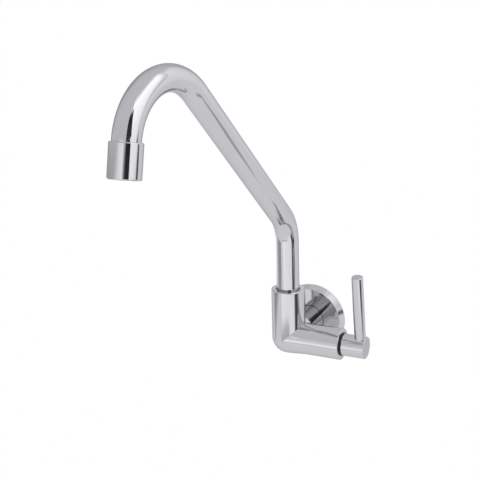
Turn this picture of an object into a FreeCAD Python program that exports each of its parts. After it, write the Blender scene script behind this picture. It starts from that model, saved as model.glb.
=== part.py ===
import FreeCAD, Part
import math
import os

# Commercial wall faucet with a swivelling gooseneck spout and a quarter-turn side lever.
# Millimetres. The origin is on the inlet axis in the plane of the wall: +Y runs into the wall,
# +X towards the lever and +Z up. The spout reaches out from the wall along -Y.

# Clearances
thread_clearance = 0.05         # radial, between a screwed or soldered pair
running_clearance = 0.06        # radial, between a turning piece and its bore
face_gap = 0.3                  # between facing surfaces that move past each other
seat_gap = 0.05                 # between faces that are clamped together
ring_gap = 0.1                  # between a soft ring and the bore that holds it
seal_squeeze = 0.03             # how far an O-ring stands out of its groove

edge_break = 0.3                # rounding of small turned edges
overrun = 1.0                   # how far a cut runs past the face that it opens

# Wall side
wall_distance = 58.2            # wall plane to the riser's axis
inlet_offset = 1.5              # inlet axis to the riser's axis, towards the lever
neck_radius = 14.6              # cast neck that carries the body, behind the riser
inlet_thread_radius = 10.4775   # G 1/2 pipe thread, 20.955 mm across, at both ends of the nipple
inlet_thread_length = 18.0
inlet_thread_start = -1.5       # shoulder of the nipple, in front of the wall plane
inlet_thread_chamfer = 1.0
nipple_bore_radius = 6.5
nipple_insertion = 11.0         # into the neck
nipple_hex_width = 22.0
nipple_hex_thickness = 2.8
inlet_washer_thickness = 1.2
inlet_washer_width = 3.6

flange_radius = 35.0
flange_depth = 8.0
flange_wall = 1.2
flange_rim_taper = 3.1          # from the lip's radius in to the face's edge
flange_lip = 0.8                # straight part of the rim at the wall
flange_edge_round = 0.8
flange_hole_clearance = 0.3
flange_washer_width = 3.5
flange_washer_thickness = 2.1

# Cast body: a riser, an arm and the neck meet in a ball elbow
arm_radius = 15.05
elbow_step = 1.25               # the riser and the ball are this much thicker than the arm
riser_height = 49.4             # arm axis to the riser's top
riser_edge_round = 0.9
arm_length = 55.7               # riser axis to the arm's end face
arm_taper_length = 24.0
arm_edge_round = 0.9
casting_wall = 3.0
inlet_duct_wall = 2.3
valve_seat_bore_radius = 4.5
inlet_chamber_radius = 7.5
socket_floor = 18.0             # bottom of the spout's socket, above the arm axis
headwork_thread_radius = 10.5
arm_counterbore_radius = 11.3

# Spout
tube_radius = 11.0              # 22 mm tube
tube_wall = 1.0
first_bend_start = 96.5         # above the arm axis
first_bend_radius = 40.3
first_bend_angle = 45.0
diagonal_length = 177.9
second_bend_radius = 49.3
second_bend_angle = 124.0
outlet_straight = 5.0
spout_rest_angle = 6.2          # swung away from the lever at rest
bush_top = 52.0                 # above the arm axis
bush_step = 40.0                # shoulder that the tube stands on
bush_bore_radius = 7.8
o_ring_section = 1.5
o_ring_groove_play = 0.15
o_ring_heights = (22.5, 28.0)
retaining_groove_height = 34.0
retaining_groove_width = 4.2
retaining_groove_depth = 2.2
wiper_width = 0.6
wiper_depth = 1.6
wiper_recess = 0.35
mouth_chamfer = 0.3

# Outlet
adapter_insert_length = 4.5
adapter_thread_radius = 10.9
adapter_thread_length = 6.5
adapter_bore_radius = 8.2
housing_radius = 12.8
housing_overlap = 5.3           # sleeve over the end of the tube
housing_end = 21.5              # below the end of the tube
housing_upper_round = 0.9
housing_lower_round = 1.1
housing_lip = 1.6
housing_lip_radius = 9.8
aerator_washer_thickness = 1.5
strainer_thickness = 0.8
cartridge_play = 0.2            # radial, inside the sleeve
insert_wall = 1.5
flow_disc_thickness = 1.6
flow_disc_depth = 4.0           # below the top of the insert
flow_hole_radius = 0.9
flow_hole_count = 10
flow_hole_circle = 0.65         # of the flow disc's radius
outlet_mesh_thickness = 2.0
outlet_mesh_hole_radius = 0.8
outlet_mesh_pitch = 2.3
outlet_mesh_rim = 0.4

# Quarter-turn valve, placed by its depth back from the arm's end face
valve_seat_depth = 40.2
headwork_thread_depth = 24.7    # where the thread starts
headwork_thread_length = 11.0
arm_counterbore_depth = 12.7
headwork_hex_depth = 7.9        # outer face of the hexagon
headwork_end_depth = 2.1
disc_seal_thickness = 1.8
disc_radius = 8.6
disc_thickness = 2.8
port_rim = 2.0
port_hub_radius = 1.6
port_angle = 76.0
driver_thickness = 3.0
driver_depth = 1.3              # into the slot of the moving disc
driver_width = 5.0
driver_inset = 1.0
driver_play = 0.2
sleeve_radius = 9.9
window_length = 7.0
window_width = 9.0
spindle_radius = 4.8
spindle_groove_depth = 1.1
spindle_groove_width = 1.5
spindle_groove_spacing = 4.0
spindle_groove_inset = 6.0      # first groove, back from the end of the headwork's thread
spindle_ring_section = 1.1
headwork_hex_width = 19.0
headwork_neck_radius = 8.0
headwork_relief = 0.8           # behind the thread
headwork_ring_thickness = 1.1
clip_thickness = 0.8
clip_radius = 6.9
clip_groove_depth = 0.8
clip_mouth_inset = 1.6
spline_tip_radius = 4.2
spline_depth = 0.4
spline_teeth = 20
spline_root = 0.5               # the splines start inside the shaft
spindle_reach = 11.8            # out from the arm's end face

# Handle, placed by its reach out from the arm's end face
glide_ring_radius = 10.95
glide_ring_visible = 1.0        # width of the black ring between arm and hub
glide_ring_insertion = 4.4      # into the arm
glide_spigot_radius = 9.2
glide_spigot_length = 3.5
hub_radius = 10.55
hub_reach = 23.7
hub_inner_edge_round = 0.8
hub_edge_round = 0.5
insert_radius = 6.4
insert_length = 13.4
lever_reach = 17.9
lever_radius = 5.3
lever_tip = 73.5                # hub axis to the lever's tip
lever_rest_lean = 8.25          # forward from upright, handle closed
lever_seat_height = 9.1         # hub axis to the flat that the lever stands on
lever_stud_radius = 2.9
lever_stud_length = 4.2
lever_edge_round = 0.8
set_screw_radius = 2.0
set_screw_reach = 9.3
set_screw_recess = 0.6
set_screw_bite = 0.8            # below the spline's root
hex_key_width = 2.0
hex_key_depth = 1.8
retaining_screw_radius = 2.5
retaining_screw_tip_radius = 1.7
retaining_screw_recess = 0.4

X_AXIS = FreeCAD.Vector(1, 0, 0)
Y_AXIS = FreeCAD.Vector(0, 1, 0)
Z_AXIS = FreeCAD.Vector(0, 0, 1)
ELBOW = FreeCAD.Vector(-inlet_offset, -wall_distance, 0)

# Derived sizes
riser_radius = arm_radius + elbow_step
valve_seat_x = arm_length - valve_seat_depth
headwork_thread_start = arm_length - headwork_thread_depth
headwork_thread_end = headwork_thread_start + headwork_thread_length
arm_counterbore_start = arm_length - arm_counterbore_depth
headwork_hex_end = arm_length - headwork_hex_depth
headwork_end = arm_length - headwork_end_depth
spindle_end = arm_length + spindle_reach
hub_end = arm_length + hub_reach
lever_x = arm_length + lever_reach
set_screw_x = arm_length + set_screw_reach
tube_bore_radius = tube_radius - tube_wall
socket_radius = tube_radius + running_clearance
cavity_radius = arm_radius - casting_wall
duct_radius = valve_seat_bore_radius + inlet_duct_wall
fixed_disc_x = valve_seat_x + disc_seal_thickness + seat_gap
moving_disc_x = fixed_disc_x + disc_thickness + seat_gap
driver_x = moving_disc_x + disc_thickness - driver_depth
glide_ring_end = arm_length + glide_ring_visible
hub_start = glide_ring_end + 0.5 * face_gap
hub_recess_end = glide_ring_end + glide_spigot_length + face_gap
clip_x = headwork_end + 0.5 * face_gap
insert_x = clip_x + clip_thickness + face_gap
clip_floor = spindle_radius - clip_groove_depth
set_screw_tip = spline_tip_radius - spline_depth - set_screw_bite


def on_arm(distance):
    return ELBOW + X_AXIS * distance


def on_riser(height):
    return ELBOW + Z_AXIS * height


def turned_to(axis):
    return FreeCAD.Rotation(Z_AXIS, axis)


def placed(shape, origin, axis):
    shape.Placement = FreeCAD.Placement(origin, turned_to(axis))
    return shape


def outline(corners):
    """Closed wire in the local XZ plane. A corner is (along, radius) or (along, radius, rounding)."""
    points = [FreeCAD.Vector(corner[1], 0, corner[0]) for corner in corners]
    roundings = [corner[2] if len(corner) > 2 else 0 for corner in corners]
    entries, exits, arcs = [], [], []
    for i, point in enumerate(points):
        if roundings[i] == 0:
            entries.append(point)
            exits.append(point)
            arcs.append(None)
            continue
        back = (points[i - 1] - point).normalize()
        ahead = (points[(i + 1) % len(points)] - point).normalize()
        half = back.getAngle(ahead) / 2
        setback = roundings[i] / math.tan(half)
        middle = point + (back + ahead).normalize() * (roundings[i] / math.sin(half) - roundings[i])
        entries.append(point + back * setback)
        exits.append(point + ahead * setback)
        arcs.append(middle)
    edges = []
    for i, entry in enumerate(entries):
        if arcs[i] is not None:
            edges.append(Part.Arc(entry, arcs[i], exits[i]).toShape())
        following = entries[(i + 1) % len(entries)]
        if exits[i].distanceToPoint(following) > 1e-6:
            edges.append(Part.LineSegment(exits[i], following).toShape())
    return Part.Wire(edges)


def turned(corners, origin, axis):
    solid = Part.Face(outline(corners)).revolve(FreeCAD.Vector(0, 0, 0), Z_AXIS, 360)
    return placed(solid, origin, axis)


def ring(inner, outer, start, end, origin, axis, rounding=0):
    corners = [
        (start, inner, rounding),
        (start, outer, rounding),
        (end, outer, rounding),
        (end, inner, rounding),
    ]
    return turned(corners, origin, axis)


def rod(radius, start, end, origin, axis):
    return Part.makeCylinder(radius, end - start, origin + axis * start, axis)


def hexagon(width, start, end, origin, axis):
    corner = width / math.sqrt(3)
    points = []
    for i in range(7):
        angle = math.radians(60 * i)
        points.append(FreeCAD.Vector(corner * math.cos(angle), corner * math.sin(angle), start))
    solid = Part.Face(Part.makePolygon(points)).extrude(Z_AXIS * (end - start))
    return placed(solid, origin, axis)


def o_ring(radius, section, height, origin, axis):
    """A seal ring whose outside is at radius."""
    solid = Part.makeTorus(radius - section / 2, section / 2, FreeCAD.Vector(0, 0, height), Z_AXIS)
    return placed(solid, origin, axis)


def hole_pattern(radius, pitch, limit, start, end, origin, axis):
    """Round holes on a triangular grid, inside a circle."""
    count = int(limit / pitch) + 1
    holes = []
    for row in range(-count, count + 1):
        for column in range(-count, count + 1):
            x = pitch * (column + 0.5 * row)
            y = pitch * row * math.sqrt(3) / 2
            if math.hypot(x, y) + radius < limit:
                hole = Part.makeCylinder(radius, end - start, FreeCAD.Vector(x, y, start), Z_AXIS)
                holes.append(hole)
    return placed(Part.makeCompound(holes), origin, axis)


def circle_of_holes(radius, circle_radius, count, start, end, origin, axis):
    holes = []
    for i in range(count):
        angle = 2 * math.pi * i / count
        centre = FreeCAD.Vector(circle_radius * math.cos(angle), circle_radius * math.sin(angle), start)
        holes.append(Part.makeCylinder(radius, end - start, centre, Z_AXIS))
    return placed(Part.makeCompound(holes), origin, axis)


def spline_bar(tip_radius, start, end, origin, axis):
    """A bar with fine straight teeth, for the handle's push-on joint."""
    points = []
    for i in range(2 * spline_teeth + 1):
        radius = tip_radius if i % 2 == 0 else tip_radius - spline_depth
        angle = math.pi * i / spline_teeth
        points.append(FreeCAD.Vector(radius * math.cos(angle), radius * math.sin(angle), start))
    solid = Part.Face(Part.makePolygon(points)).extrude(Z_AXIS * (end - start))
    return placed(solid, origin, axis)


# Wall side

INLET = FreeCAD.Vector(0, 0, 0)
nipple_hex_start = inlet_thread_start - nipple_hex_thickness
neck_end = nipple_hex_start - seat_gap
nipple_inner_end = neck_end - nipple_insertion
inlet_floor = nipple_inner_end - inlet_washer_thickness - 2 * seat_gap
flange_plate_back = -flange_depth + flange_wall


def inlet_nipple():
    thread_end = inlet_thread_start + inlet_thread_length
    shank = [
        (nipple_inner_end, nipple_bore_radius),
        (nipple_inner_end, inlet_thread_radius, edge_break),
        (thread_end - inlet_thread_chamfer, inlet_thread_radius),
        (thread_end, inlet_thread_radius - inlet_thread_chamfer),
        (thread_end, nipple_bore_radius),
    ]
    nut = hexagon(nipple_hex_width, nipple_hex_start, inlet_thread_start, INLET, Y_AXIS)
    bore = rod(nipple_bore_radius, nipple_hex_start - overrun, inlet_thread_start + overrun, INLET, Y_AXIS)
    return turned(shank, INLET, Y_AXIS).fuse(nut.cut(bore)).removeSplitter()


def inlet_washer():
    start = inlet_floor + seat_gap
    end = start + inlet_washer_thickness
    outer = inlet_thread_radius - ring_gap
    return ring(outer - inlet_washer_width, outer, start, end, INLET, Y_AXIS, edge_break)


def wall_flange():
    """Round cover with a flat face, a sloping rim, a short lip and an open back."""
    hole = neck_radius + flange_hole_clearance
    inner_radius = flange_radius - flange_wall
    corners = [
        (-flange_depth, hole),
        (-flange_depth, flange_radius - flange_rim_taper, flange_edge_round),
        (-flange_lip, flange_radius, edge_break),
        (0, flange_radius),
        (0, inner_radius),
        (-flange_lip, inner_radius),
        (flange_plate_back, inner_radius - flange_rim_taper),
        (flange_plate_back, hole),
    ]
    return turned(corners, INLET, Y_AXIS)


def flange_washer():
    """Rubber ring that grips the neck behind the flange."""
    start = flange_plate_back + seat_gap
    inner = neck_radius + thread_clearance
    outer = inner + flange_washer_width
    return ring(inner, outer, start, start + flange_washer_thickness, INLET, Y_AXIS, edge_break)


# Body

def arm_outside():
    """The arm narrows from the ball's radius to its own in an even S before it runs straight."""
    half_length = arm_taper_length / 2
    half_drop = (riser_radius - arm_radius) / 2
    curve = (half_length ** 2 + half_drop ** 2) / (2 * half_drop)
    sag = curve - math.sqrt(curve ** 2 - (half_length / 2) ** 2)
    start = FreeCAD.Vector(riser_radius, 0, 0)
    first = FreeCAD.Vector(riser_radius - sag, 0, half_length / 2)
    middle = FreeCAD.Vector(riser_radius - half_drop, 0, half_length)
    second = FreeCAD.Vector(arm_radius + sag, 0, 1.5 * half_length)
    end = FreeCAD.Vector(arm_radius, 0, arm_taper_length)
    rim_sag = arm_edge_round * (1 - math.sqrt(0.5))
    rim_start = FreeCAD.Vector(arm_radius, 0, arm_length - arm_edge_round)
    rim_middle = FreeCAD.Vector(arm_radius - rim_sag, 0, arm_length - rim_sag)
    rim_end = FreeCAD.Vector(arm_radius - arm_edge_round, 0, arm_length)
    closing = [rim_end, FreeCAD.Vector(0, 0, arm_length), FreeCAD.Vector(0, 0, 0), start]
    edges = [
        Part.Arc(start, first, middle).toShape(),
        Part.Arc(middle, second, end).toShape(),
        Part.LineSegment(end, rim_start).toShape(),
        Part.Arc(rim_start, rim_middle, rim_end).toShape(),
    ]
    edges += Part.makePolygon(closing).Edges
    solid = Part.Face(Part.Wire(edges)).revolve(FreeCAD.Vector(0, 0, 0), Z_AXIS, 360)
    return placed(solid, ELBOW, X_AXIS)


def wiper_seat():
    """The counterbore at the riser's mouth, with a small chamfer."""
    radius = tube_radius + wiper_width
    corners = [
        (riser_height - wiper_depth, 0),
        (riser_height - wiper_depth, radius),
        (riser_height - mouth_chamfer, radius),
        (riser_height + overrun, radius + mouth_chamfer + overrun),
        (riser_height + overrun, 0),
    ]
    return turned(corners, ELBOW, Z_AXIS)


def body():
    riser_corners = [
        (0, 0),
        (0, riser_radius),
        (riser_height, riser_radius, riser_edge_round),
        (riser_height, 0),
    ]
    riser = turned(riser_corners, ELBOW, Z_AXIS)
    ball = Part.makeSphere(riser_radius, ELBOW)
    neck = rod(neck_radius, -wall_distance, neck_end, INLET, Y_AXIS)
    outside = riser.fuse([ball, arm_outside(), neck])

    chamber = rod(cavity_radius, 0, headwork_thread_start, ELBOW, X_AXIS)
    elbow_cavity = Part.makeSphere(cavity_radius, ELBOW)
    rising_way = rod(tube_bore_radius, 0, socket_floor + overrun, ELBOW, Z_AXIS)
    cavity = chamber.fuse([elbow_cavity, rising_way])

    duct_turn = FreeCAD.Vector(0, -wall_distance, 0)
    inlet_duct = rod(duct_radius, -wall_distance, 0, INLET, Y_AXIS)
    seat_duct = rod(duct_radius, inlet_offset, valve_seat_x, ELBOW, X_AXIS)
    cavity = cavity.cut(inlet_duct.fuse([Part.makeSphere(duct_radius, duct_turn), seat_duct]))

    chamber_start = -wall_distance + cavity_radius + casting_wall
    bores = [
        rod(inlet_thread_radius + thread_clearance, inlet_floor, neck_end + overrun, INLET, Y_AXIS),
        rod(inlet_chamber_radius, chamber_start, inlet_floor + overrun, INLET, Y_AXIS),
        rod(valve_seat_bore_radius, -wall_distance, chamber_start + overrun, INLET, Y_AXIS),
        Part.makeSphere(valve_seat_bore_radius, duct_turn),
        rod(valve_seat_bore_radius, inlet_offset, valve_seat_x + overrun, ELBOW, X_AXIS),
        rod(socket_radius, socket_floor, riser_height + overrun, ELBOW, Z_AXIS),
        wiper_seat(),
        rod(headwork_thread_radius + thread_clearance, headwork_thread_start - overrun,
            arm_counterbore_start + overrun, ELBOW, X_AXIS),
        rod(arm_counterbore_radius, arm_counterbore_start, arm_length + overrun, ELBOW, X_AXIS),
        rod(retaining_screw_radius + thread_clearance, socket_radius - overrun, riser_radius + overrun,
            on_riser(retaining_groove_height), Y_AXIS),
    ]
    return outside.cut(cavity).cut(bores)


def spout_retaining_screw():
    """Grub screw at the back of the riser; its tip runs in the bush's groove."""
    origin = on_riser(retaining_groove_height)
    tip = tube_radius - retaining_groove_depth + face_gap
    shoulder = socket_radius + face_gap
    head = riser_radius - retaining_screw_recess
    corners = [
        (tip, 0),
        (tip, retaining_screw_tip_radius, edge_break),
        (shoulder, retaining_screw_tip_radius),
        (shoulder, retaining_screw_radius),
        (head, retaining_screw_radius, edge_break),
        (head, 0),
    ]
    key = hexagon(hex_key_width, head - hex_key_depth, head + overrun, origin, Y_AXIS)
    return turned(corners, origin, Y_AXIS).cut(key)


def spout_wiper_ring():
    inner = tube_radius + running_clearance
    outer = tube_radius + wiper_width - seat_gap
    start = riser_height - wiper_depth + seat_gap
    return ring(inner, outer, start, riser_height - wiper_recess, ELBOW, Z_AXIS)


# Spout, in the upright plane that passes through the riser's axis

spout_outward = FreeCAD.Vector(
    -math.sin(math.radians(spout_rest_angle)), -math.cos(math.radians(spout_rest_angle)), 0)


def in_spout_plane(reach, height):
    return ELBOW + spout_outward * reach + Z_AXIS * height


def heading(angle):
    """Unit direction (reach, height) at an angle from upright, leaning outward."""
    return math.sin(math.radians(angle)), math.cos(math.radians(angle))


def bend(start, angle_in, radius, angle):
    """Middle point and end point of a bend that turns outward and down."""
    ahead = heading(angle_in)
    centre = (start[0] + radius * ahead[1], start[1] - radius * ahead[0])
    points = []
    for turn in (angle_in + angle / 2, angle_in + angle):
        direction = heading(turn)
        points.append((centre[0] - radius * direction[1], centre[1] + radius * direction[0]))
    return points


def straight(start, angle, length):
    direction = heading(angle)
    return (start[0] + length * direction[0], start[1] + length * direction[1])


bend_1_start = (0, first_bend_start)
bend_1_middle, bend_1_end = bend(bend_1_start, 0, first_bend_radius, first_bend_angle)
bend_2_start = straight(bend_1_end, first_bend_angle, diagonal_length)
bend_2_middle, bend_2_end = bend(bend_2_start, first_bend_angle, second_bend_radius, second_bend_angle)
outlet_angle = first_bend_angle + second_bend_angle
tube_end = straight(bend_2_end, outlet_angle, outlet_straight)
OUTLET = in_spout_plane(*tube_end)
OUTLET_AXIS = in_spout_plane(*straight(tube_end, outlet_angle, 1)) - OUTLET


def spout_pipe(radius, bottom):
    stations = [(0, bottom), bend_1_start, bend_1_middle, bend_1_end,
                bend_2_start, bend_2_middle, bend_2_end, tube_end]
    points = [in_spout_plane(*station) for station in stations]
    path = Part.Wire([
        Part.LineSegment(points[0], points[1]).toShape(),
        Part.Arc(points[1], points[2], points[3]).toShape(),
        Part.LineSegment(points[3], points[4]).toShape(),
        Part.Arc(points[4], points[5], points[6]).toShape(),
        Part.LineSegment(points[6], points[7]).toShape(),
    ])
    section = Part.Wire([Part.makeCircle(radius, points[0], Z_AXIS)])
    return path.makePipeShell([section], True, False)


def spout_tube():
    bottom = bush_step + seat_gap
    return spout_pipe(tube_radius, bottom).cut(spout_pipe(tube_bore_radius, bottom))


def spout_end_bush():
    """Brass end of the spout: its lower part turns in the socket, its upper part is inside the tube."""
    bottom = socket_floor + face_gap
    pin_radius = tube_bore_radius - thread_clearance
    corners = [
        (bottom, bush_bore_radius),
        (bottom, tube_radius, 2 * edge_break),
        (bush_step, tube_radius),
        (bush_step, pin_radius),
        (bush_top, pin_radius, edge_break),
        (bush_top, bush_bore_radius),
    ]
    solid = turned(corners, ELBOW, Z_AXIS)
    for height in o_ring_heights:
        half = o_ring_section / 2 + o_ring_groove_play
        groove_floor = tube_radius - o_ring_section
        groove = ring(groove_floor, tube_radius + overrun, height - half, height + half, ELBOW, Z_AXIS)
        solid = solid.cut(groove)
    return solid.cut(retaining_groove())


def spout_o_rings():
    outer = tube_radius + seal_squeeze
    rings = [o_ring(outer, o_ring_section, height, ELBOW, Z_AXIS) for height in o_ring_heights]
    return Part.makeCompound(rings)


def retaining_groove():
    half = retaining_groove_width / 2
    return ring(tube_radius - retaining_groove_depth, tube_radius + overrun, retaining_groove_height - half,
                retaining_groove_height + half, ELBOW, Z_AXIS)


# Outlet, along the outlet axis from the end of the tube

washer_start = adapter_thread_length + seat_gap
strainer_start = washer_start + aerator_washer_thickness + seat_gap
insert_start = strainer_start + strainer_thickness + seat_gap
insert_end = housing_end - housing_lip - seat_gap
cartridge_radius = adapter_thread_radius - cartridge_play
insert_bore_radius = cartridge_radius - insert_wall


def outlet_adapter():
    insert = tube_bore_radius - thread_clearance
    corners = [
        (-adapter_insert_length, adapter_bore_radius),
        (-adapter_insert_length, insert, edge_break),
        (seat_gap, insert),
        (seat_gap, adapter_thread_radius, edge_break),
        (adapter_thread_length, adapter_thread_radius, edge_break),
        (adapter_thread_length, adapter_bore_radius),
    ]
    return turned(corners, OUTLET, OUTLET_AXIS)


def aerator_housing():
    thread_bore = tube_radius + thread_clearance
    corners = [
        (-housing_overlap, thread_bore),
        (-housing_overlap, housing_radius, housing_upper_round),
        (housing_end, housing_radius, housing_lower_round),
        (housing_end, housing_lip_radius, edge_break),
        (housing_end - housing_lip, housing_lip_radius),
        (housing_end - housing_lip, thread_bore),
    ]
    return turned(corners, OUTLET, OUTLET_AXIS)


def aerator_washer():
    end = washer_start + aerator_washer_thickness
    inner = adapter_bore_radius + cartridge_play
    return ring(inner, cartridge_radius, washer_start, end, OUTLET, OUTLET_AXIS, edge_break)


def aerator_strainer():
    end = strainer_start + strainer_thickness
    disc = rod(cartridge_radius, strainer_start, end, OUTLET, OUTLET_AXIS)
    holes = hole_pattern(outlet_mesh_hole_radius, outlet_mesh_pitch, adapter_bore_radius,
                         strainer_start - overrun, end + overrun, OUTLET, OUTLET_AXIS)
    return disc.cut(holes)


def aerator_insert():
    return ring(insert_bore_radius, cartridge_radius, insert_start, insert_end,
                OUTLET, OUTLET_AXIS, edge_break)


def aerator_flow_disc():
    start = insert_start + flow_disc_depth
    end = start + flow_disc_thickness
    disc = rod(insert_bore_radius - seat_gap, start, end, OUTLET, OUTLET_AXIS)
    holes = circle_of_holes(flow_hole_radius, insert_bore_radius * flow_hole_circle, flow_hole_count,
                            start - overrun, end + overrun, OUTLET, OUTLET_AXIS)
    return disc.cut(holes)


def aerator_outlet_mesh():
    start = insert_end - outlet_mesh_thickness
    disc = rod(insert_bore_radius - seat_gap, start, insert_end, OUTLET, OUTLET_AXIS)
    holes = hole_pattern(outlet_mesh_hole_radius, outlet_mesh_pitch, insert_bore_radius - outlet_mesh_rim,
                         start - overrun, insert_end + overrun, OUTLET, OUTLET_AXIS)
    return disc.cut(holes)


# Quarter-turn valve

def disc_seal():
    end = valve_seat_x + disc_seal_thickness
    return ring(valve_seat_bore_radius + ring_gap, duct_radius - ring_gap, valve_seat_x + seat_gap, end,
                ELBOW, X_AXIS, edge_break)


def flow_sectors(start, end, quarter_turns):
    """Two opposite ports of a ceramic disc."""
    ports = []
    base = FreeCAD.Vector(0, 0, start)
    for side in (0, 180):
        port = Part.makeCylinder(disc_radius - port_rim, end - start, base, Z_AXIS, port_angle)
        port = port.cut(Part.makeCylinder(port_hub_radius, end - start, base, Z_AXIS))
        port.rotate(base, Z_AXIS, side + 90 * quarter_turns - port_angle / 2)
        ports.append(port)
    return placed(Part.makeCompound(ports), ELBOW, X_AXIS)


def ceramic_disc_fixed():
    start = fixed_disc_x
    end = start + disc_thickness
    return rod(disc_radius, start, end, ELBOW, X_AXIS).cut(flow_sectors(start - overrun, end + overrun, 0))


def driver_bar(width, start, end):
    half = disc_radius - driver_inset
    bar = Part.makeBox(2 * half, width, end - start, FreeCAD.Vector(-half, -width / 2, start))
    return placed(bar, ELBOW, X_AXIS)


def ceramic_disc_moving():
    start = moving_disc_x
    end = start + disc_thickness
    disc = rod(disc_radius, start, end, ELBOW, X_AXIS).cut(flow_sectors(start - overrun, end + overrun, 1))
    return disc.cut(driver_bar(driver_width + driver_play, driver_x - seat_gap, end + overrun))


def headwork_body():
    """Brass valve housing: a windowed sleeve, the thread, a hexagon and the neck for the glide ring."""
    sleeve_bore = disc_radius + running_clearance
    shaft_bore = spindle_radius + running_clearance
    bore_start = driver_x + driver_thickness + face_gap
    front = fixed_disc_x - disc_seal_thickness / 2
    relief = headwork_thread_radius - headwork_relief
    corners = [
        (front, sleeve_bore),
        (front, sleeve_radius, edge_break),
        (headwork_thread_start, sleeve_radius),
        (headwork_thread_start, headwork_thread_radius, edge_break),
        (headwork_thread_end, headwork_thread_radius, edge_break),
        (headwork_thread_end, relief),
        (headwork_hex_end, relief),
        (headwork_hex_end, headwork_neck_radius),
        (headwork_end, headwork_neck_radius, edge_break),
        (headwork_end, shaft_bore),
        (headwork_thread_start, shaft_bore),
        (headwork_thread_start, sleeve_bore),
    ]
    hex_start = arm_counterbore_start + headwork_ring_thickness + seat_gap
    nut = hexagon(headwork_hex_width, hex_start, headwork_hex_end, ELBOW, X_AXIS)
    nut = nut.cut(rod(shaft_bore, hex_start - overrun, headwork_hex_end + overrun, ELBOW, X_AXIS))
    solid = turned(corners, ELBOW, X_AXIS).fuse(nut)
    window_start = bore_start - driver_thickness + driver_depth
    window = Part.makeBox(window_width, 4 * sleeve_radius, window_length,
                          FreeCAD.Vector(-window_width / 2, -2 * sleeve_radius, window_start))
    return solid.cut(placed(window, ELBOW, X_AXIS)).removeSplitter()


def headwork_o_ring():
    start = arm_counterbore_start + seat_gap / 2
    end = start + headwork_ring_thickness
    inner = headwork_thread_radius - headwork_relief + ring_gap
    return ring(inner, arm_counterbore_radius - seat_gap, start, end, ELBOW, X_AXIS, edge_break)


spindle_groove_places = [
    headwork_thread_end - spindle_groove_inset,
    headwork_thread_end - spindle_groove_inset + spindle_groove_spacing,
]


def spindle():
    driver_end = driver_x + driver_thickness
    shaft_end = insert_x - face_gap / 2
    shaft = rod(spindle_radius, driver_end - spline_root, shaft_end, ELBOW, X_AXIS)
    splines = spline_bar(spline_tip_radius, shaft_end - spline_root, spindle_end, ELBOW, X_AXIS)
    solid = shaft.fuse([splines, driver_bar(driver_width, driver_x, driver_end)])
    half = spindle_groove_width / 2
    groove_floor = spindle_radius - spindle_groove_depth
    cuts = [ring(groove_floor, spindle_radius + overrun, place - half, place + half, ELBOW, X_AXIS)
            for place in spindle_groove_places]
    cuts.append(ring(clip_floor, spindle_radius + overrun, clip_x, clip_x + clip_thickness + seat_gap,
                     ELBOW, X_AXIS))
    cuts.append(rod(set_screw_radius + thread_clearance, set_screw_tip, spline_tip_radius + overrun,
                    on_arm(set_screw_x), lever_axis * -1))
    return solid.cut(cuts)


def spindle_o_rings():
    outer = spindle_radius + seal_squeeze
    rings = [o_ring(outer, spindle_ring_section, place, ELBOW, X_AXIS) for place in spindle_groove_places]
    return Part.makeCompound(rings)


def spindle_clip():
    start = clip_x + seat_gap / 2
    end = clip_x + clip_thickness
    washer = ring(clip_floor + seat_gap, clip_radius, start, end, ELBOW, X_AXIS)
    half_mouth = spindle_radius - clip_mouth_inset
    mouth = Part.makeBox(2 * half_mouth, clip_radius + overrun, end - start + 2 * overrun,
                         FreeCAD.Vector(-half_mouth, 0, start - overrun))
    return washer.cut(placed(mouth, ELBOW, X_AXIS))


# Handle

lever_lean = math.radians(lever_rest_lean)
lever_axis = FreeCAD.Vector(0, -math.sin(lever_lean), math.cos(lever_lean))


def handle_glide_ring():
    """Black bearing ring: it shows between the arm and the hub, and its spigot centres the hub."""
    bore = headwork_neck_radius + thread_clearance
    corners = [
        (arm_length - glide_ring_insertion, bore),
        (arm_length - glide_ring_insertion, glide_ring_radius),
        (glide_ring_end, glide_ring_radius, edge_break),
        (glide_ring_end, glide_spigot_radius),
        (glide_ring_end + glide_spigot_length, glide_spigot_radius, edge_break),
        (glide_ring_end + glide_spigot_length, bore),
    ]
    return turned(corners, ELBOW, X_AXIS)


def spline_insert():
    end = insert_x + insert_length
    solid = rod(insert_radius, insert_x, end, ELBOW, X_AXIS)
    splines = spline_bar(spline_tip_radius + thread_clearance, insert_x - overrun, spindle_end + face_gap,
                         ELBOW, X_AXIS)
    screw_hole = rod(set_screw_radius + thread_clearance, set_screw_tip, insert_radius + overrun,
                     on_arm(set_screw_x), lever_axis * -1)
    return solid.cut([splines, screw_hole])


def handle_hub():
    socket_end = insert_x + insert_length + seat_gap
    corners = [
        (hub_start, glide_spigot_radius + running_clearance),
        (hub_start, hub_radius, hub_inner_edge_round),
        (hub_end, hub_radius, hub_edge_round),
        (hub_end, 0),
        (socket_end, 0),
        (socket_end, insert_radius + thread_clearance),
        (hub_recess_end, insert_radius + thread_clearance),
        (hub_recess_end, glide_spigot_radius + running_clearance),
    ]
    lever_foot = on_arm(lever_x)
    pocket = rod(lever_radius + thread_clearance, lever_seat_height, hub_radius + overrun,
                 lever_foot, lever_axis)
    stud_hole = rod(lever_stud_radius + thread_clearance, lever_seat_height - lever_stud_length - face_gap,
                    hub_radius, lever_foot, lever_axis)
    screw_hole = rod(set_screw_radius + thread_clearance, insert_radius - overrun, hub_radius + overrun,
                     on_arm(set_screw_x), lever_axis * -1)
    return turned(corners, ELBOW, X_AXIS).cut([pocket, stud_hole, screw_hole])


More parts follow.
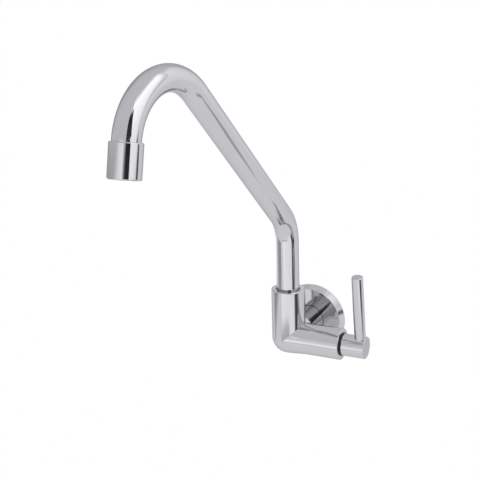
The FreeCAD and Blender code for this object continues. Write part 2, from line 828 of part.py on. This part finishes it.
def lever_pin():
    foot = lever_seat_height + seat_gap
    corners = [
        (foot - lever_stud_length, 0),
        (foot - lever_stud_length, lever_stud_radius, edge_break),
        (foot, lever_stud_radius),
        (foot, lever_radius),
        (lever_tip, lever_radius, lever_edge_round),
        (lever_tip, 0),
    ]
    return turned(corners, on_arm(lever_x), lever_axis)


def handle_set_screw():
    """Grub screw on the hub's underside that pins the hub to the spindle."""
    tip = set_screw_tip + seat_gap
    head = hub_radius - set_screw_recess
    corners = [
        (tip, 0),
        (tip, set_screw_radius, edge_break),
        (head, set_screw_radius, edge_break),
        (head, 0),
    ]
    origin = on_arm(set_screw_x)
    key = hexagon(hex_key_width, head - hex_key_depth, head + overrun, origin, lever_axis * -1)
    return turned(corners, origin, lever_axis * -1).cut(key)


def pieces():
    return {
        "inlet_nipple": inlet_nipple(),
        "inlet_washer": inlet_washer(),
        "wall_flange": wall_flange(),
        "flange_washer": flange_washer(),
        "body": body(),
        "spout_retaining_screw": spout_retaining_screw(),
        "spout_wiper_ring": spout_wiper_ring(),
        "headwork_body": headwork_body(),
        "headwork_o_ring": headwork_o_ring(),
        "disc_seal": disc_seal(),
        "ceramic_disc_fixed": ceramic_disc_fixed(),
        "handle_glide_ring": handle_glide_ring(),
        "spout_tube": spout_tube(),
        "spout_end_bush": spout_end_bush(),
        "spout_o_rings": spout_o_rings(),
        "outlet_adapter": outlet_adapter(),
        "aerator_housing": aerator_housing(),
        "aerator_washer": aerator_washer(),
        "aerator_strainer": aerator_strainer(),
        "aerator_insert": aerator_insert(),
        "aerator_flow_disc": aerator_flow_disc(),
        "aerator_outlet_mesh": aerator_outlet_mesh(),
        "ceramic_disc_moving": ceramic_disc_moving(),
        "spindle": spindle(),
        "spindle_o_rings": spindle_o_rings(),
        "spindle_clip": spindle_clip(),
        "spline_insert": spline_insert(),
        "handle_hub": handle_hub(),
        "lever_pin": lever_pin(),
        "handle_set_screw": handle_set_screw(),
    }


os.makedirs("parts", exist_ok=True)
for name, shape in pieces().items():
    shape.exportStep(os.path.join("parts", name + ".step"))
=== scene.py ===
import math

import bmesh
import bpy
from mathutils import Matrix, Vector


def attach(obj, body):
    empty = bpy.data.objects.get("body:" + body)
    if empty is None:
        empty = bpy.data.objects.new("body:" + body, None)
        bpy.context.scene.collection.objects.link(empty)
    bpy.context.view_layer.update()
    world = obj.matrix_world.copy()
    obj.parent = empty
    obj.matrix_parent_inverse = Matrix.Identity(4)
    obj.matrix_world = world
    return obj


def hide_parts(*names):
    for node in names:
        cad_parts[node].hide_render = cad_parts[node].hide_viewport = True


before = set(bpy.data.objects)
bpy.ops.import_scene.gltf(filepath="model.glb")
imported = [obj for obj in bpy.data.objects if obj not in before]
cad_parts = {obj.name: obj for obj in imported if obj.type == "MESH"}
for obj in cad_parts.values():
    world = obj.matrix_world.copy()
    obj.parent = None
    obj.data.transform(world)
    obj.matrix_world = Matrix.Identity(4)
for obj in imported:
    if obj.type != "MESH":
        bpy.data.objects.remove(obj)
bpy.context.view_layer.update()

# The frame is in metres: the wall is the plane y = 0, +X points towards the lever and +Z up.
ELBOW = Vector((-0.0015, -0.0582, 0.0))

# ---- Camera: the photograph's viewing angle -------------------------------------------------
IMAGE_SIDE = 480                 # pixels
FOCAL = 862.981                  # pixels
SENSOR_WIDTH = 36.0              # millimetres
AZIMUTH = math.radians(27.44)
ELEVATION = math.radians(15.80)
ROLL = math.radians(-1.93)
ELBOW_PIXEL = (288.974, 335.728)
ELBOW_DISTANCE = 0.845587        # along the line of sight


def add_camera():
    right = Vector((math.cos(AZIMUTH), math.sin(AZIMUTH), 0))
    ahead = Vector((-math.sin(AZIMUTH) * math.cos(ELEVATION),
                    math.cos(AZIMUTH) * math.cos(ELEVATION), -math.sin(ELEVATION)))
    up = right.cross(ahead)
    right, up = (math.cos(ROLL) * right + math.sin(ROLL) * up,
                 math.cos(ROLL) * up - math.sin(ROLL) * right)
    across = (ELBOW_PIXEL[0] - IMAGE_SIDE / 2) * ELBOW_DISTANCE / FOCAL
    down = (ELBOW_PIXEL[1] - IMAGE_SIDE / 2) * ELBOW_DISTANCE / FOCAL
    place = ELBOW - across * right + down * up - ELBOW_DISTANCE * ahead
    data = bpy.data.cameras.new("photo_camera")
    data.sensor_width = SENSOR_WIDTH
    data.lens = FOCAL / IMAGE_SIDE * data.sensor_width
    camera = bpy.data.objects.new("photo_camera", data)
    camera.matrix_world = Matrix.Translation(place) @ Matrix((right, up, -ahead)).transposed().to_4x4()
    bpy.context.scene.collection.objects.link(camera)
    bpy.context.scene.camera = camera


# ---- Studio: a white room, and round the tap a tent of cards that shape its reflections ----------
STUDIO_CENTRE = Vector((0.05, -0.25, 0.15))
STUDIO_RADIUS = 1.0
STUDIO_LEVEL = 0.88              # share of the cards' radiances below
CARD_GAP = 0.006                 # each card lies this far inside the one before
CARD_STEP = 2.0                  # degrees between a card's grid lines
CARD_CELLS = 4                   # the fewest grid cells along a side
CARD_TINT = (0.99, 0.985, 1.03)
FLOOR_HEIGHT = -0.85
FLOOR_SIZE = 30.0
WHITE = (1, 1, 1, 1)

# Each card: (azimuth, elevation, radiance) of its bottom left, bottom right, top right and top left
# corners, then the soft width of its left, right, bottom and top edges. Angles are in degrees.
# Azimuth is measured from the front (-Y) towards the lever (+X). A later card covers an earlier one.
# Walls and whites are the tent's panels, the softbox is the main light, flags are black sheets, and
# the line and the band are thin grey strips.
CARDS = {
    "dome": ((-180, -90, 1.05), (180, -90, 1.05), (180, 90, 1.05), (-180, 90, 1.05), 0, 0, 0, 0),
    "ceiling": ((-180, 2, 0.85), (180, 2, 0.85), (180, 90, 0.9), (-180, 90, 0.9), 0, 0, 14, 0),
    "right_wall": ((120, -5, 1.1), (180, -8, 1.2), (180, 58, 1.15), (147, 58, 1.45), 2, 4, 3, 15),
    "left_wall": ((-128, -11, 0.8), (-96, -8, 0.5), (-101, 52, 0.6), (-155, 52, 0.8), 12, 8, 6, 14),
    "left_mid": ((-97, -15, 0.6), (-30, -12, 0.55), (-31, 20, 0.75), (-98, 6, 0.6), 7, 9, 1, 8),
    "left_low": ((-103, -32, 0.55), (-50, -27, 0.35), (-42, -8, 0.55), (-98, -8, 0.6), 5, 13, 4, 3),
    "back_white": ((-162, -22, 1.75), (-112, -23, 2.2), (-125, 2, 1.55), (-166, 16, 1.4), 8, 13, 6, 10),
    "front_white": ((-36, -50, 1.3), (70, -46, 1.4), (78, -6, 1.15), (-36, -12, 1.5), 9, 4, 6, 3),
    "front_under": ((-40, -60, 1.1), (44, -60, 1.1), (44, -37, 1.1), (-40, -37, 1.1), 8, 10, 12, 2),
    "front_line": ((-44, -38, 0.6), (36, -38, 0.6), (36, -32, 0.6), (-44, -32, 0.6), 6, 12, 2, 2),
    "front_upper": ((-21, -3, 0.95), (21, -7, 1.25), (15, 17, 1.45), (-22, 19, 1.25), 2, 8, 3, 4),
    "softbox": ((35, -11, 1.3), (117, -3, 1.35), (163, 71, 2.1), (40, 69, 2.1), 3, 25, 6, 18),
    "flag_side": ((10, -12, 1.0), (31, -9, 0.75), (26, 15, 0.1), (16, 15, 0.3), 5, 0, 3, 5),
    "flag_low": ((26, -6, 0.05), (59, -14, 0.05), (59, 13, 0.01), (23, 13, 0.03), 5, 4, 1, 0),
    "flag_high": ((22, 12, 0.05), (67, 12, 0.03), (50, 53, 0.04), (28, 48, 0.02), 5, 3, 1, 9),
    "low_flag": ((74, -39, 0.15), (108, -39, 0.02), (118, -21, 0.1), (80, -12, 0.1), 4, 8, 3, 2),
    "low_band": ((111, -52, 0.45), (125, -52, 0.7), (124, -25, 0.6), (110, -25, 0.4), 5, 5, 6, 4),
    "small_flag": ((105, -10, 0.02), (129, -13, 0.2), (128, 1, 0.4), (110, 2, 0.03), 4, 2, 4, 5),
}


def smooth(x):
    x = min(max(x, 0.0), 1.0)
    return x * x * (3 - 2 * x)


def blend_corners(corners, s, t):
    """The mean of four corners, s of the way to the right and t of the way up."""
    low_left, low_right, top_right, top_left = corners
    return [(1 - t) * ((1 - s) * low_left[k] + s * low_right[k])
            + t * ((1 - s) * top_left[k] + s * top_right[k]) for k in range(3)]


def card_mesh(name, radius, corners, soft_edges):
    """A patch of a sphere; each vertex holds its light, and its cover, which fades at soft edges."""
    low_left, low_right, top_right, top_left = corners
    left, right, bottom, top = soft_edges
    width = max(abs(low_right[0] - low_left[0]), abs(top_right[0] - top_left[0]))
    height = max(abs(top_left[1] - low_left[1]), abs(top_right[1] - low_right[1]))
    columns, rows = (max(CARD_CELLS, round(side / CARD_STEP)) for side in (width, height))
    mesh = bmesh.new()
    cover = mesh.verts.layers.float.new("cover")
    light = mesh.verts.layers.float.new("light")
    grid = []
    for row in range(rows + 1):
        t = row / rows
        line = []
        for column in range(columns + 1):
            s = column / columns
            azimuth, elevation, radiance = blend_corners(corners, s, t)
            azimuth, elevation = math.radians(azimuth), math.radians(elevation)
            vertex = mesh.verts.new((radius * math.sin(azimuth) * math.cos(elevation),
                                     -radius * math.cos(azimuth) * math.cos(elevation),
                                     radius * math.sin(elevation)))
            share = 1.0
            for distance, soft in ((s * width, left), ((1 - s) * width, right),
                                   (t * height, bottom), ((1 - t) * height, top)):
                if soft:
                    share *= smooth(distance / soft)
            vertex[cover] = share
            vertex[light] = radiance * STUDIO_LEVEL
            line.append(vertex)
        grid.append(line)
    for below, above in zip(grid, grid[1:]):
        for i in range(columns):
            mesh.faces.new((below[i], below[i + 1], above[i + 1], above[i]))
    data = bpy.data.meshes.new(name)
    mesh.to_mesh(data)
    mesh.free()
    return data


def card_material(name):
    """Glows with each vertex's light where its cover is 1, and is clear where its cover is 0."""
    material = bpy.data.materials.new(name)
    material.use_nodes = True
    tree = material.node_tree
    tree.nodes.clear()
    glow = tree.nodes.new("ShaderNodeEmission")
    glow.inputs["Color"].default_value = (*CARD_TINT, 1)
    light = tree.nodes.new("ShaderNodeAttribute")
    light.attribute_name = "light"
    clear = tree.nodes.new("ShaderNodeBsdfTransparent")
    cover = tree.nodes.new("ShaderNodeAttribute")
    cover.attribute_name = "cover"
    mix = tree.nodes.new("ShaderNodeMixShader")
    out = tree.nodes.new("ShaderNodeOutputMaterial")
    tree.links.new(light.outputs["Fac"], glow.inputs["Strength"])
    tree.links.new(cover.outputs["Fac"], mix.inputs["Fac"])
    tree.links.new(clear.outputs[0], mix.inputs[1])
    tree.links.new(glow.outputs[0], mix.inputs[2])
    tree.links.new(mix.outputs[0], out.inputs["Surface"])
    return material


def add_card(name, order, corners, soft_edges):
    """A card that only reflections show: no camera ray, shadow or soft light meets it."""
    data = card_mesh("studio_" + name, STUDIO_RADIUS - CARD_GAP * order, corners, soft_edges)
    data.materials.append(card_material("studio_" + name))
    card = bpy.data.objects.new("studio_" + name, data)
    card.location = STUDIO_CENTRE
    bpy.context.scene.collection.objects.link(card)
    card.visible_camera = False
    card.visible_diffuse = False
    card.visible_shadow = False


def add_room():
    """White light from all sides; the background is the plain white that the camera sees."""
    world = bpy.data.worlds.new("studio")
    bpy.context.scene.world = world
    world.use_nodes = True
    background = world.node_tree.nodes["Background"]
    background.inputs["Color"].default_value = WHITE
    background.inputs["Strength"].default_value = 1.0


def add_floor():
    data = bpy.data.meshes.new("studio_floor")
    half = FLOOR_SIZE / 2
    corners = [(-half, -half, 0), (half, -half, 0), (half, half, 0), (-half, half, 0)]
    data.from_pydata(corners, [], [(0, 1, 2, 3)])
    floor = bpy.data.objects.new("studio_floor", data)
    floor.location = (0, 0, FLOOR_HEIGHT)
    bpy.context.scene.collection.objects.link(floor)
    floor.visible_glossy = False
    material, _, shader = new_material("studio_floor")
    shader.inputs["Base Color"].default_value = WHITE
    shader.inputs["Roughness"].default_value = 1.0
    shader.inputs["Specular IOR Level"].default_value = 0.0
    data.materials.append(material)


def add_studio():
    add_room()
    for order, (name, card) in enumerate(CARDS.items()):
        add_card(name, order, card[:4], card[4:])
    add_floor()


# ---- Smooth pieces: the spout tube and the wall flange, with finer facets than the CAD mesh -------
# Sizes are in millimetres and degrees, as in the CAD.
MM = 0.001
TURN_STEPS = 288                 # facets round a turned piece
ROUND_STEPS = 10                 # facets across a rounded edge
GUARD = 0.12                     # a support line lies this far from each rounded edge
SHARP_ANGLE = math.radians(28)
INSET = 0.002                    # keeps a finer mesh within the CAD piece

SPOUT_ANGLE = 6.2                # from straight out of the wall, away from the lever
TUBE_RADIUS, TUBE_WALL = 11.0 - INSET, 1.0
TUBE_BOTTOM = 40.05              # above the elbow
TUBE_STEPS = 160                 # facets round the tube
BEND_STEP = 1.0
BEND_1_START, BEND_1_RADIUS, BEND_1_ANGLE = 96.5, 40.3, 45.0
DIAGONAL = 177.9
BEND_2_RADIUS, BEND_2_ANGLE = 49.3, 124.0
OUTLET_STRAIGHT = 5.0

FLANGE_RADIUS, FLANGE_HOLE, FLANGE_DEPTH, FLANGE_WALL = 35.0 - INSET, 14.9, 8.0, 1.2
FLANGE_FACE_RADIUS, FLANGE_ROUND, FLANGE_LIP, FLANGE_LIP_ROUND = 31.9, 0.8, 0.8, 0.3


def profile_points(corners):
    """Points (along, radius) of a closed outline whose corners may have a rounding as third value."""
    points = []
    count = len(corners)
    for i, corner in enumerate(corners):
        point = Vector(corner[:2])
        back = Vector(corners[i - 1][:2]) - point
        ahead = Vector(corners[(i + 1) % count][:2]) - point
        if len(corner) < 3:
            points.append(point)
            continue
        rounding = corner[2]
        half = back.angle(ahead) / 2
        setback = rounding / math.tan(half)
        middle = (back.normalized() + ahead.normalized()).normalized()
        centre = point + middle * rounding / math.sin(half)
        start, end = point + back.normalized() * setback, point + ahead.normalized() * setback
        points.append(start + back.normalized() * min(GUARD, (back.length - setback) / 3))
        for step in range(ROUND_STEPS + 1):
            spoke = (start - centre).slerp(end - centre, step / ROUND_STEPS)
            points.append(centre + spoke.normalized() * rounding)
        points.append(end + ahead.normalized() * min(GUARD, (ahead.length - setback) / 3))
    return points


def skin(rings, name):
    """A closed mesh of quads over equal rings of points; the last ring joins the first."""
    mesh = bmesh.new()
    lines = [[mesh.verts.new(point * MM) for point in points] for points in rings]
    for near, far in zip(lines, lines[1:] + lines[:1]):
        for i in range(len(near)):
            j = (i + 1) % len(near)
            mesh.faces.new((near[i], near[j], far[j], far[i]))
    bmesh.ops.recalc_face_normals(mesh, faces=mesh.faces)
    data = bpy.data.meshes.new(name)
    mesh.to_mesh(data)
    mesh.free()
    data.shade_smooth()
    data.set_sharp_from_angle(angle=SHARP_ANGLE)
    piece = bpy.data.objects.new(name, data)
    bpy.context.scene.collection.objects.link(piece)
    return piece


def ring(centre, side, other, radius, steps):
    """Points of a circle, from side towards other."""
    turns = [2 * math.pi * i / steps for i in range(steps)]
    return [centre + radius * (math.cos(turn) * side + math.sin(turn) * other) for turn in turns]


def turned(name, corners, origin, axis):
    """A closed outline turned about an axis; along is measured from origin."""
    side = axis.orthogonal().normalized()
    other = axis.cross(side)
    return skin([ring(origin + axis * along, side, other, radius, TURN_STEPS)
                 for along, radius in profile_points(corners)], name)


def spout_stations():
    """Places along the bent tube, from the riser to the outlet: (centre, sideways, across)."""
    lean = math.radians(SPOUT_ANGLE)
    outward = Vector((-math.sin(lean), -math.cos(lean), 0))
    sideways = Vector((-math.cos(lean), math.sin(lean), 0))
    up = Vector((0, 0, 1))
    place, heading = ELBOW / MM + up * TUBE_BOTTOM, 0.0
    stations = []

    def across():
        return outward * math.cos(heading) - up * math.sin(heading)

    def add_station():
        stations.append((place, sideways, across()))

    def add_straight(length):
        nonlocal place
        for part in (GUARD, length - 2 * GUARD, GUARD):
            place = place + part * (outward * math.sin(heading) + up * math.cos(heading))
            add_station()

    def add_bend(radius, angle):
        nonlocal place, heading
        count = math.ceil(angle / BEND_STEP)
        for _ in range(count):
            centre = place + radius * across()
            heading += math.radians(angle / count)
            place = centre - radius * across()
            add_station()

    add_station()
    add_straight(BEND_1_START - TUBE_BOTTOM)
    add_bend(BEND_1_RADIUS, BEND_1_ANGLE)
    add_straight(DIAGONAL)
    add_bend(BEND_2_RADIUS, BEND_2_ANGLE)
    add_straight(OUTLET_STRAIGHT)
    return stations


def spout_tube():
    stations = spout_stations()
    outside = [ring(*station, TUBE_RADIUS, TUBE_STEPS) for station in stations]
    inside = [ring(*station, TUBE_RADIUS - TUBE_WALL, TUBE_STEPS) for station in reversed(stations)]
    return skin(outside + inside, "spout_tube_smooth")


def wall_flange():
    corners = [
        (-FLANGE_DEPTH, FLANGE_HOLE),
        (-FLANGE_DEPTH, FLANGE_FACE_RADIUS, FLANGE_ROUND),
        (-FLANGE_LIP, FLANGE_RADIUS, FLANGE_LIP_ROUND),
        (0, FLANGE_RADIUS),
        (0, FLANGE_RADIUS - FLANGE_WALL),
        (-FLANGE_LIP, FLANGE_RADIUS - FLANGE_WALL),
        (-FLANGE_DEPTH + FLANGE_WALL, FLANGE_FACE_RADIUS - FLANGE_WALL),
        (-FLANGE_DEPTH + FLANGE_WALL, FLANGE_HOLE),
    ]
    return turned("wall_flange_smooth", corners, Vector((0, 0, 0)), Vector((0, 1, 0)))


def finish_piece(piece, node, body):
    piece.data.materials.append(MATERIALS["chrome"])
    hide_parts(node)
    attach(piece, body)


# ---- Materials ---------------------------------------------------------------------------------
NOISE_LOW, NOISE_HIGH = 0.3, 0.7     # most of a noise lies between these
EVEN = (1, 1, 1)                     # noise that isn't stretched

CHROME_DARK, CHROME_LIGHT = (0.593, 0.591, 0.595), (0.606, 0.604, 0.608)
CHROME_EDGE = (0.64, 0.64, 0.65, 1)  # tint towards the outline
CHROME_ROUGHNESS = (0.06, 0.10)
CHROME_RIPPLE = 0.0000012            # metres
CHROME_TONE, CHROME_HAZE, CHROME_WAVE = (60, 3), (140, 4), (220, 1)     # noise scale and detail


def new_material(name):
    material = bpy.data.materials.new(name)
    material.use_nodes = True
    tree = material.node_tree
    return material, tree, tree.nodes["Principled BSDF"]


def noise(tree, scale, detail, stretch=EVEN):
    """Noise over a piece's own coordinates, in metres; stretch squeezes it along an axis."""
    place = tree.nodes.new("ShaderNodeTexCoord")
    mapping = tree.nodes.new("ShaderNodeMapping")
    mapping.inputs["Scale"].default_value = stretch
    texture = tree.nodes.new("ShaderNodeTexNoise")
    texture.inputs["Scale"].default_value = scale
    texture.inputs["Detail"].default_value = detail
    tree.links.new(place.outputs["Object"], mapping.inputs["Vector"])
    tree.links.new(mapping.outputs["Vector"], texture.inputs["Vector"])
    return texture.outputs["Fac"]


def spread(tree, value, low, high):
    """Maps the middle of a noise to the range low to high."""
    mapped = tree.nodes.new("ShaderNodeMapRange")
    mapped.inputs["From Min"].default_value = NOISE_LOW
    mapped.inputs["From Max"].default_value = NOISE_HIGH
    mapped.inputs["To Min"].default_value = low
    mapped.inputs["To Max"].default_value = high
    tree.links.new(value, mapped.inputs["Value"])
    return mapped.outputs["Result"]


def blend_colours(tree, value, first, second):
    mix = tree.nodes.new("ShaderNodeMix")
    mix.data_type = "RGBA"
    mix.inputs["A"].default_value = (*first, 1)
    mix.inputs["B"].default_value = (*second, 1)
    tree.links.new(value, mix.inputs["Factor"])
    return mix.outputs["Result"]


def bumped(tree, shader, height, distance):
    bump = tree.nodes.new("ShaderNodeBump")
    bump.inputs["Strength"].default_value = 1.0
    bump.inputs["Distance"].default_value = distance
    tree.links.new(height, bump.inputs["Height"])
    tree.links.new(bump.outputs["Normal"], shader.inputs["Normal"])


def surface(name, dark, light, metallic, roughness, tone_noise, grain, relief):
    """A material whose colour, roughness and relief all vary.

    tone_noise and grain are (scale, detail, stretch); relief is the height of the grain in metres.
    """
    material, tree, shader = new_material(name)
    tone = noise(tree, *tone_noise)
    fine = noise(tree, *grain)
    colour = blend_colours(tree, spread(tree, tone, 0, 1), dark, light)
    tree.links.new(colour, shader.inputs["Base Color"])
    tree.links.new(spread(tree, fine, *roughness), shader.inputs["Roughness"])
    shader.inputs["Metallic"].default_value = metallic
    bumped(tree, shader, fine, relief)
    return material


def chrome():
    """Bright plate over polished brass: a faint orange-peel ripple and patches of slightly softer shine."""
    material, tree, shader = new_material("chrome")
    tone = noise(tree, *CHROME_TONE)
    haze = noise(tree, *CHROME_HAZE)
    wave = noise(tree, *CHROME_WAVE)
    colour = blend_colours(tree, spread(tree, tone, 0, 1), CHROME_DARK, CHROME_LIGHT)
    tree.links.new(colour, shader.inputs["Base Color"])
    tree.links.new(spread(tree, haze, *CHROME_ROUGHNESS), shader.inputs["Roughness"])
    shader.inputs["Metallic"].default_value = 1.0
    shader.inputs["Specular Tint"].default_value = CHROME_EDGE
    bumped(tree, shader, wave, CHROME_RIPPLE)
    return material


MATERIALS = {
    "chrome": chrome(),
    "brass": surface("brass", (0.50, 0.33, 0.13), (0.66, 0.47, 0.21), 1, (0.18, 0.36),
                     (90, 3, EVEN), (900, 3, (1, 1, 6)), 0.000004),
    "steel": surface("steel", (0.47, 0.47, 0.48), (0.60, 0.60, 0.60), 1, (0.2, 0.36),
                     (300, 3, EVEN), (1200, 3, (1, 1, 8)), 0.000003),
    "rubber": surface("rubber", (0.012, 0.012, 0.013), (0.03, 0.03, 0.031), 0, (0.55, 0.75),
                      (400, 4, EVEN), (2400, 3, EVEN), 0.00001),
    "black_plastic": surface("black_plastic", (0.012, 0.012, 0.013), (0.024, 0.024, 0.026), 0, (0.3, 0.42),
                             (250, 4, EVEN), (1800, 3, EVEN), 0.000005),
    "white_plastic": surface("white_plastic", (0.70, 0.70, 0.68), (0.80, 0.80, 0.79), 0, (0.35, 0.5),
                             (250, 4, EVEN), (1800, 3, EVEN), 0.000005),
    "ceramic": surface("ceramic", (0.78, 0.77, 0.73), (0.86, 0.85, 0.82), 0, (0.12, 0.24),
                       (500, 4, EVEN), (3000, 3, EVEN), 0.000002),
}


# ---- Assembly ----------------------------------------------------------------------------------
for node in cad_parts.values():
    slot_name = node.material_slots[0].material.name
    node.data.materials.clear()
    node.data.materials.append(MATERIALS[slot_name])

finish_piece(spout_tube(), "spout_tube", "spout")
finish_piece(wall_flange(), "wall_flange", "tap_body")

add_camera()
add_studio()
bpy.context.scene.view_settings.view_transform = "Standard"
